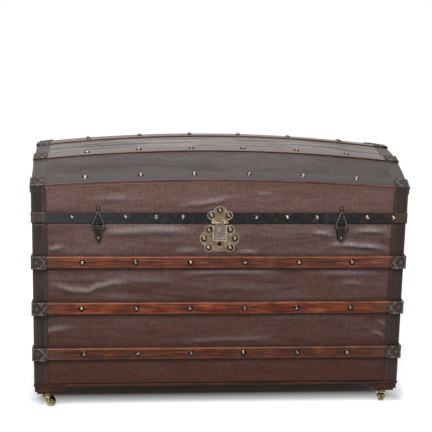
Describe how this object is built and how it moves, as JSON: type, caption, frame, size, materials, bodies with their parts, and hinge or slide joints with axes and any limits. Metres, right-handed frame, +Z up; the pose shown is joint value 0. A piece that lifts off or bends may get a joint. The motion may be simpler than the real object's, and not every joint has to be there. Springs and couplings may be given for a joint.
{
  "type": "dome top trunk",
  "caption": "Canvas-covered travelling trunk with a hinged domed lid, wooden slats, brass lock and hasp, draw latches, end handles and small castors.",
  "frame": {"origin": "on the floor under the middle of the trunk", "axes": "+X along the trunk, -Y the front with the lock, +Z up"},
  "size_m": [0.9026, 0.5248, 0.6347],
  "materials": {
    "pine": "bare boards",
    "oilcloth": "woven, oiled, worn",
    "binding_leather": "worn, stitched",
    "slat_wood": "stained, varnished",
    "base_wood": "stained",
    "dark_iron": "blackened",
    "aged_brass": "tarnished"
  },
  "bodies": {
    "chest": {"bottom_board": "pine", "front_board": "pine", "back_board": "pine", "left_end_board": "pine", "right_end_board": "pine", "inner_lip": "pine", "body_canvas": "oilcloth", "body_corner_bindings": "binding_leather", "front_slat_lower": "slat_wood", "front_slat_middle": "slat_wood", "front_slat_upper": "slat_wood", "back_slats": "slat_wood", "plinth_rails": "base_wood", "corner_feet": "base_wood", "slat_clamps": "dark_iron", "hinge_body_leaves": "dark_iron", "hinge_pins": "dark_iron", "latch_bases": "dark_iron", "handle_lugs": "dark_iron", "lock_case": "dark_iron", "lock_plate": "aged_brass", "castor_plates": "aged_brass"},
    "lid": {"lid_front_rail": "pine", "lid_back_rail": "pine", "lid_left_end": "pine", "lid_right_end": "pine", "lid_dome_panel": "pine", "lid_canvas": "oilcloth", "dome_canvas": "oilcloth", "lid_end_bindings": "binding_leather", "lid_corner_bindings": "binding_leather", "lid_slat_caps": "dark_iron", "lid_rim_band": "dark_iron", "hinge_lid_leaves": "dark_iron", "latch_catches": "dark_iron", "hasp_plate": "aged_brass", "hasp_pin": "aged_brass", "lid_slat_front_edge": "slat_wood", "lid_slat_front": "slat_wood", "lid_slat_crest": "slat_wood", "lid_slat_back": "slat_wood", "lid_slat_back_edge": "slat_wood"},
    "hasp": {"hasp": "aged_brass"},
    "lock_bolt": {"lock_bolt": "dark_iron"},
    "latch_lever_left": {"latch_lever_left": "dark_iron"},
    "latch_loop_left": {"latch_loop_left": "dark_iron"},
    "latch_lever_right": {"latch_lever_right": "dark_iron"},
    "latch_loop_right": {"latch_loop_right": "dark_iron"},
    "end_handle_left": {"end_handle_left": "dark_iron"},
    "end_handle_right": {"end_handle_right": "dark_iron"},
    "castor_fork_front_left": {"castor_fork_front_left": "aged_brass"},
    "castor_wheel_front_left": {"castor_wheel_front_left": "aged_brass"},
    "castor_fork_front_right": {"castor_fork_front_right": "aged_brass"},
    "castor_wheel_front_right": {"castor_wheel_front_right": "aged_brass"},
    "castor_fork_back_left": {"castor_fork_back_left": "aged_brass"},
    "castor_wheel_back_left": {"castor_wheel_back_left": "aged_brass"},
    "castor_fork_back_right": {"castor_fork_back_right": "aged_brass"},
    "castor_wheel_back_right": {"castor_wheel_back_right": "aged_brass"}
  },
  "joints": [
    {"name": "lid_hinge", "type": "hinge", "parent": "chest", "child": "lid", "pos_m": [0, 0.257, 0.4605], "axis": [-1, 0, 0], "range_deg": [0, 100]},
    {"name": "hasp_hinge", "type": "hinge", "parent": "lid", "child": "hasp", "pos_m": [-0.0045, -0.2556, 0.4615], "axis": [-1, 0, 0], "range_deg": [0, 150]},
    {"name": "bolt_slide", "type": "slide", "parent": "chest", "child": "lock_bolt", "axis": [1, 0, 0], "range_m": [0, 0.009]},
    {"name": "latch_lever_left_hinge", "type": "hinge", "parent": "chest", "child": "latch_lever_left", "pos_m": [-0.288, -0.2549, 0.4535], "axis": [-1, 0, 0], "range_deg": [0, 120]},
    {"name": "latch_loop_left_hinge", "type": "hinge", "parent": "latch_lever_left", "child": "latch_loop_left", "pos_m": [-0.288, -0.258, 0.448], "axis": [-1, 0, 0], "range_deg": [-120, 0]},
    {"name": "latch_lever_right_hinge", "type": "hinge", "parent": "chest", "child": "latch_lever_right", "pos_m": [0.283, -0.2549, 0.4535], "axis": [-1, 0, 0], "range_deg": [0, 120]},
    {"name": "latch_loop_right_hinge", "type": "hinge", "parent": "latch_lever_right", "child": "latch_loop_right", "pos_m": [0.283, -0.258, 0.448], "axis": [-1, 0, 0], "range_deg": [-120, 0]},
    {"name": "end_handle_left_hinge", "type": "hinge", "parent": "chest", "child": "end_handle_left", "pos_m": [-0.4457, 0, 0.3388], "axis": [0, 1, 0], "range_deg": [0, 95]},
    {"name": "end_handle_right_hinge", "type": "hinge", "parent": "chest", "child": "end_handle_right", "pos_m": [0.4457, 0, 0.3388], "axis": [0, -1, 0], "range_deg": [0, 95]},
    {"name": "front_left_castor_swivel", "type": "hinge", "parent": "chest", "child": "castor_fork_front_left", "pos_m": [-0.4102, -0.2202, 0.03], "axis": [0, 0, 1], "continuous": true},
    {"name": "front_left_castor_roll", "type": "hinge", "parent": "castor_fork_front_left", "child": "castor_wheel_front_left", "pos_m": [-0.40327, -0.2242, 0.0125], "axis": [0.5, 0.866, 0], "continuous": true},
    {"name": "front_right_castor_swivel", "type": "hinge", "parent": "chest", "child": "castor_fork_front_right", "pos_m": [0.4102, -0.2202, 0.03], "axis": [0, 0, 1], "continuous": true},
    {"name": "front_right_castor_roll", "type": "hinge", "parent": "castor_fork_front_right", "child": "castor_wheel_front_right", "pos_m": [0.41241, -0.21251, 0.0125], "axis": [-0.9613, 0.2756, 0], "continuous": true},
    {"name": "back_left_castor_swivel", "type": "hinge", "parent": "chest", "child": "castor_fork_back_left", "pos_m": [-0.4102, 0.2202, 0.03], "axis": [0, 0, 1], "continuous": true},
    {"name": "back_left_castor_roll", "type": "hinge", "parent": "castor_fork_back_left", "child": "castor_wheel_back_left", "pos_m": [-0.41633, 0.22534, 0.0125], "axis": [-0.6428, -0.766, 0], "continuous": true},
    {"name": "back_right_castor_swivel", "type": "hinge", "parent": "chest", "child": "castor_fork_back_right", "pos_m": [0.4102, 0.2202, 0.03], "axis": [0, 0, 1], "continuous": true},
    {"name": "back_right_castor_roll", "type": "hinge", "parent": "castor_fork_back_right", "child": "castor_wheel_back_right", "pos_m": [0.41675, 0.22479, 0.0125], "axis": [-0.5736, 0.8192, 0], "continuous": true}
  ],
  "couplings": [
    {"joint": "latch_loop_left_hinge", "follows": "latch_lever_left_hinge", "ratio": -1},
    {"joint": "latch_loop_right_hinge", "follows": "latch_lever_right_hinge", "ratio": -1}
  ]
}
